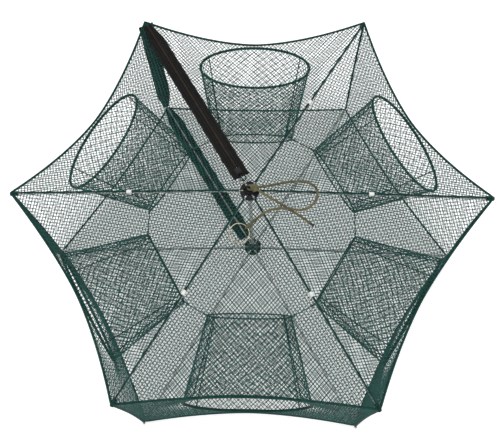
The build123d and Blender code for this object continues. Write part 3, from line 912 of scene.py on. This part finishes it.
def make_rib_clips():
    """White snap clips that pinch the seams to the top ribs; the zip's tape hides its rib's."""
    for corner in range(SIDES):
        if corner == ZIP_CORNER:
            continue
        angle = corner_angle(corner)
        along = outward(angle) * cos(SEAM_TILT) + Vector((0, 0, sin(SEAM_TILT)))
        rise = outward(angle) * -sin(SEAM_TILT) + Vector((0, 0, cos(SEAM_TILT)))
        height = TOP["apex"] + (TOP["tip"][1] - TOP["apex"]) * CLIP_OUT / TOP["tip"][0]
        centre = outward(angle) * CLIP_OUT + Vector((0, 0, height - 0.0008))
        points, faces = [], []
        for i in range(CLIP_RINGS + 1):
            place = i / (CLIP_RINGS / 2) - 1
            swell = (1 - abs(place) ** 5 * 0.45) * (1 + 0.08 * cos(3 * pi * place))
            for j in range(CLIP_AROUND):
                turn = 2 * pi * j / CLIP_AROUND
                reach = tangent(angle) * (CLIP_WIDE * cos(turn)) + rise * (CLIP_HIGH * sin(turn))
                points.append(centre + along * (place * CLIP_LENGTH / 2) + reach * swell)
        for i in range(CLIP_RINGS):
            low, high = i * CLIP_AROUND, (i + 1) * CLIP_AROUND
            for j in range(CLIP_AROUND):
                k = (j + 1) % CLIP_AROUND
                faces.append([low + j, low + k, high + k, high + j])
        last = CLIP_RINGS * CLIP_AROUND
        faces += [list(range(CLIP_AROUND))[::-1], list(range(last, last + CLIP_AROUND))]
        make_piece(f"seam_clip_{corner + 1}", (points, faces), WHITE, f"top_rib_{corner + 1}",
                   [f"rib_clip_{corner + 1}"])


def corner_line(corner):
    """The top and the foot of a corner edge."""
    angle = corner_angle(corner)
    top = outward(angle) * (TOP["tip"][0] - CORNER_INSET) + Vector((0, 0, CORNER_TOP))
    foot = outward(angle) * CORNER_FOOT[0] + Vector((0, 0, CORNER_FOOT[1]))
    return top, foot


def make_corner_bindings():
    for corner in range(SIDES):
        if corner == ZIP_CORNER:
            continue
        top, foot = corner_line(corner)
        bow = outward(corner_angle(corner)) * -0.0025
        path = [top.lerp(foot, i / 24) + bow * sin(pi * i / 24) for i in range(25)]
        make_piece(f"corner_edge_{corner + 1}", tube(path, 0.0021, 10), BINDING,
                   f"corner_{corner + 1}", [f"corner_binding_{corner + 1}"])


# ------------------------------------------------------------------ zip


def zip_parts(start, end, across, up, teeth_from=0.0):
    """Two tapes with stitching, and the teeth between them, along a straight seam."""
    run = end - start
    along = run.normalized()
    tapes, stitches, teeth = [], [], []
    rows = int(run.length / TAPE_ROW)
    columns = len(TAPE_SECTION)
    for way in (-1, 1):
        points, faces = [], []
        for i in range(rows + 1):
            here = start + run * (i / rows)
            taper = min(1, 0.35 + (rows - i) * 0.1)
            wave = 0.0005 * sin(i * 0.55 + way) + 0.0004 * sin(i * 0.21 + 2 * way)
            for share in TAPE_SECTION:
                edge = across * way * (TAPE_GAP / 2 + TAPE_WIDTH * share * taper)
                points.append(here + edge + up * (0.0004 + wave * share))
        for i in range(rows):
            for j in range(columns - 1):
                a = i * columns + j
                faces.append([a, a + 1, a + columns + 1, a + columns])
        tapes.append((points, faces))
        for share in STITCH_ROWS:
            aside = across * way * (TAPE_GAP / 2 + TAPE_WIDTH * share)
            for i in range(int((run.length - STITCH_SHORT) / STITCH_PITCH)):
                centre = start + along * (STITCH_PITCH * i + STITCH_PITCH / 2) + aside
                centre = centre + up * 0.0013
                stitches.append(box_part(centre, along * 0.0013, across * 0.0003, up * 0.0003))
        count = int((run.length - teeth_from) / TOOTH_PITCH)
        for i in range(count):
            place = teeth_from + TOOTH_PITCH * (i + (0.25 if way > 0 else 0.75))
            centre = start + along * place + across * way * 0.0008 + up * 0.0011
            teeth.append(box_part(centre, along * 0.0006, across * 0.0015, up * 0.0009))
    return join_parts(tapes), join_parts(stitches), join_parts(teeth)


def make_tape(name, part, body, replaced):
    obj = new_mesh(name, *part)
    thick = obj.modifiers.new("cloth", "SOLIDIFY")
    thick.thickness = TAPE_THICKNESS
    thick.offset = 0
    obj.data.materials.append(TAPE)
    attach(obj, body)
    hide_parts(*replaced)
    return obj


def make_zip():
    angle = corner_angle(ZIP_CORNER)
    number = ZIP_CORNER + 1
    out = outward(angle) * cos(SEAM_TILT) + Vector((0, 0, sin(SEAM_TILT)))
    up = outward(angle) * -sin(SEAM_TILT) + Vector((0, 0, cos(SEAM_TILT)))
    base = Vector((0, 0, SEAM_APEX)) + up * TAPE_LIFT
    side_top, side_foot = corner_line(ZIP_CORNER)
    side_up = outward(angle)
    low = outward(angle) * 0.026 + Vector((0, 0, 0.0300))
    far = outward(angle) * 0.3785 + Vector((0, 0, 0.0006))
    runs = [
        ("top", base + out * 0.027, base + out * 0.387, tangent(angle), up, 0.021,
         f"top_rib_{number}", ["zip_tape_top", "zip_coil"]),
        ("side", side_top, side_foot - Vector((0, 0, 0.002)), tangent(angle), side_up, 0.0,
         f"corner_{number}", ["zip_tape_side"]),
        ("bottom", low, far, tangent(angle), Vector((0, 0, 1)), 0.0, f"bottom_rib_{number}",
         ["zip_tape_bottom"]),
    ]
    for label, start, end, across, lift, teeth_from, body, replaced in runs:
        tapes, stitches, teeth = zip_parts(start, end, across, lift, teeth_from)
        make_tape(f"zip_{label}_tapes", tapes, body, replaced)
        make_piece(f"zip_{label}_stitching", stitches, STITCH, body, smooth=False)
        make_piece(f"zip_{label}_teeth", teeth, TEETH, body, smooth=False)


# ------------------------------------------------------------------ the whole trap

make_camera()
make_studio()
make_pull_cord()
make_cone_nets("top", TOP, "top_net")
make_cone_nets("bottom", BOTTOM, "bottom_net")
make_hems()
make_rib_seams()
make_walls()
make_funnels()
make_ties()
make_corner_bindings()
make_rib_clips()
make_zip()
finish_cad_nodes()

boxes = {"cad": CAD_BOX, "visual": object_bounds()}
{name: [[float(x) for x in corner] for corner in box] for name, box in boxes.items()}
